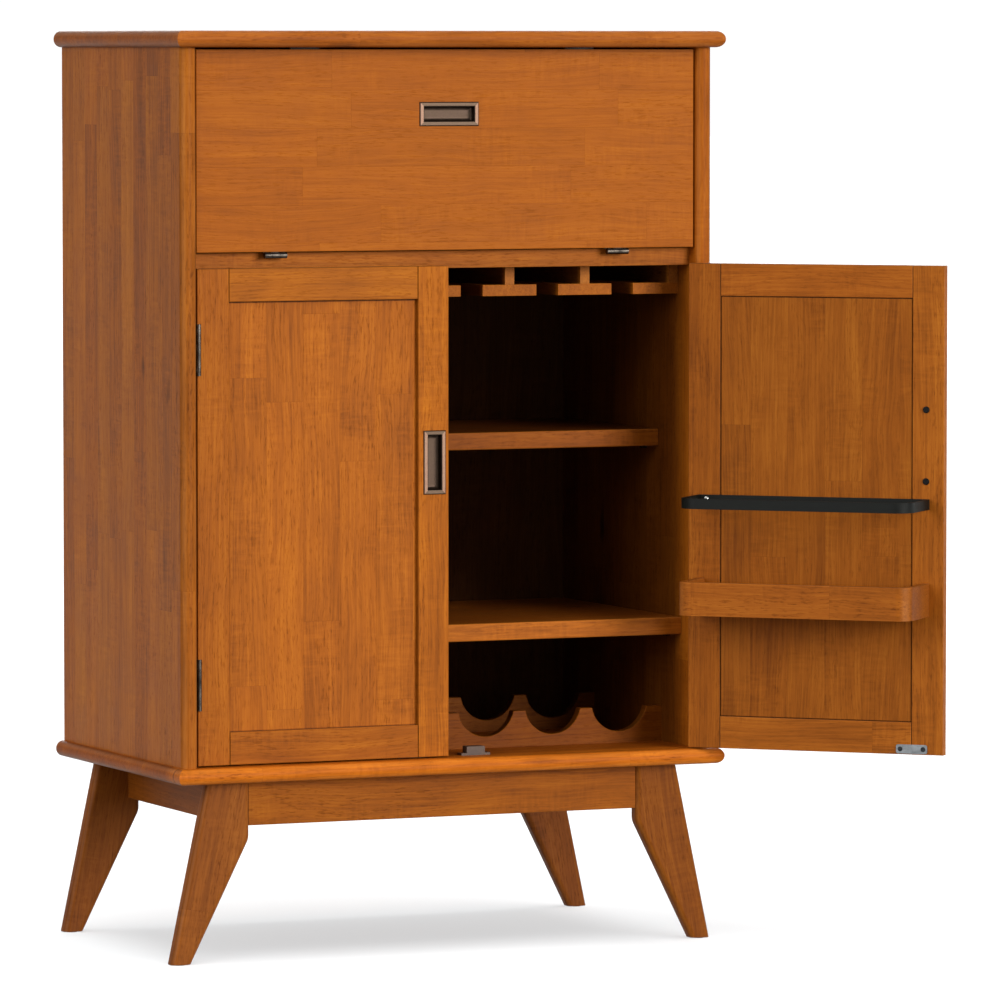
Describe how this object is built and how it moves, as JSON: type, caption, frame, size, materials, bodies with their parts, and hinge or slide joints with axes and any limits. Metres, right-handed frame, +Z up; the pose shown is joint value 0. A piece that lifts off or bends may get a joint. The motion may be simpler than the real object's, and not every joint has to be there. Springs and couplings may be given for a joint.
{
  "type": "bar cabinet",
  "caption": "Wooden bar cabinet on splayed legs with a drop-front, two framed doors, shelves, rails for hanging glasses, a rack for lying bottles and a bottle tray on the door.",
  "frame": {"origin": "on the floor, under the middle of the case: half way across its width and half way from its front edge to its back", "axes": "+Z up, +Y towards the back of the cabinet (the user stands at -Y), +X to the user's right, the side of the open door"},
  "size_m": [1.0418, 0.7714, 1.27],
  "materials": {
    "case_wood": "satin stained wood",
    "inner_wood": "satin stained wood",
    "front_wood": "satin stained wood",
    "pull_bronze": "antique bronze",
    "hinge_steel": "dark plated",
    "zinc_plate": "zinc plated",
    "black_metal": "matte black",
    "catch_plastic": "brown plastic",
    "black_plastic": "matte"
  },
  "bodies": {
    "carcass": {"top_board": "case_wood", "bottom_board": "case_wood", "left_side_panel": "case_wood", "right_side_panel": "case_wood", "front_rail": "case_wood", "front_apron": "case_wood", "rear_apron": "case_wood", "side_aprons": "case_wood", "front_left_leg": "case_wood", "front_right_leg": "case_wood", "rear_left_leg": "case_wood", "rear_right_leg": "case_wood", "divider_shelf": "inner_wood", "upper_shelf": "inner_wood", "lower_shelf": "inner_wood", "stemware_flanges": "inner_wood", "stemware_webs": "inner_wood", "wine_rack_front": "inner_wood", "wine_rack_rear": "inner_wood", "back_panel": "inner_wood", "corner_blocks": "inner_wood", "foot_glides": "black_plastic", "back_panel_screws": "zinc_plate", "shelf_pins": "hinge_steel", "magnetic_catches": "catch_plastic", "stay_studs": "hinge_steel", "left_door_hinge_fixed_leaves": "hinge_steel", "right_door_hinge_fixed_leaves": "hinge_steel", "drop_front_hinge_fixed_leaves": "hinge_steel"},
    "left_door": {"left_door_bottom_rail": "front_wood", "left_door_free_stile": "front_wood", "left_door_hinge_leaves": "hinge_steel", "left_door_hinge_stile": "front_wood", "left_door_panel": "front_wood", "left_door_pull": "pull_bronze", "left_door_strike": "zinc_plate", "left_door_strike_screws": "black_metal", "left_door_top_rail": "front_wood"},
    "right_door": {"right_door_bottom_rail": "front_wood", "right_door_buttons": "black_plastic", "right_door_free_stile": "front_wood", "right_door_hinge_leaves": "hinge_steel", "right_door_hinge_stile": "front_wood", "right_door_panel": "front_wood", "right_door_pull": "pull_bronze", "right_door_strike": "zinc_plate", "right_door_strike_screws": "black_metal", "right_door_top_rail": "front_wood", "bottle_tray_rim": "front_wood", "bottle_tray_floor": "front_wood", "bottle_guard": "black_metal", "bottle_guard_screws": "zinc_plate"},
    "drop_front": {"drop_front_panel": "front_wood", "drop_front_pull": "pull_bronze", "drop_front_strikes": "zinc_plate", "drop_front_hinge_leaves": "hinge_steel", "stay_brackets": "hinge_steel"},
    "left_stay": {"stay_arm_left": "hinge_steel"},
    "right_stay": {"stay_arm_right": "hinge_steel"}
  },
  "joints": [
    {"name": "left_door_hinge", "type": "hinge", "parent": "carcass", "child": "left_door", "pos_m": [-0.36972, -0.23, 0.61], "axis": [0, 0, -1], "range_deg": [0, 165]},
    {"name": "right_door_hinge", "type": "hinge", "parent": "carcass", "child": "right_door", "pos_m": [0.36972, -0.23, 0.61], "axis": [0, 0, 1], "range_deg": [-136.2, 28.8]},
    {"name": "drop_front_hinge", "type": "hinge", "parent": "carcass", "child": "drop_front", "pos_m": [0, -0.2235, 0.9652], "axis": [1, 0, 0], "range_deg": [0, 90]},
    {"name": "left_stay_pivot", "type": "hinge", "parent": "drop_front", "child": "left_stay", "pos_m": [-0.36275, -0.1995, 1.1335], "axis": [1, 0, 0], "range_deg": [-45, 0]},
    {"name": "right_stay_pivot", "type": "hinge", "parent": "drop_front", "child": "right_stay", "pos_m": [0.36275, -0.1995, 1.1335], "axis": [1, 0, 0], "range_deg": [-45, 0]}
  ],
  "couplings": [
    {"joint": "left_stay_pivot", "follows": "drop_front_hinge", "ratio": -0.5},
    {"joint": "right_stay_pivot", "follows": "drop_front_hinge", "ratio": -0.5}
  ]
}
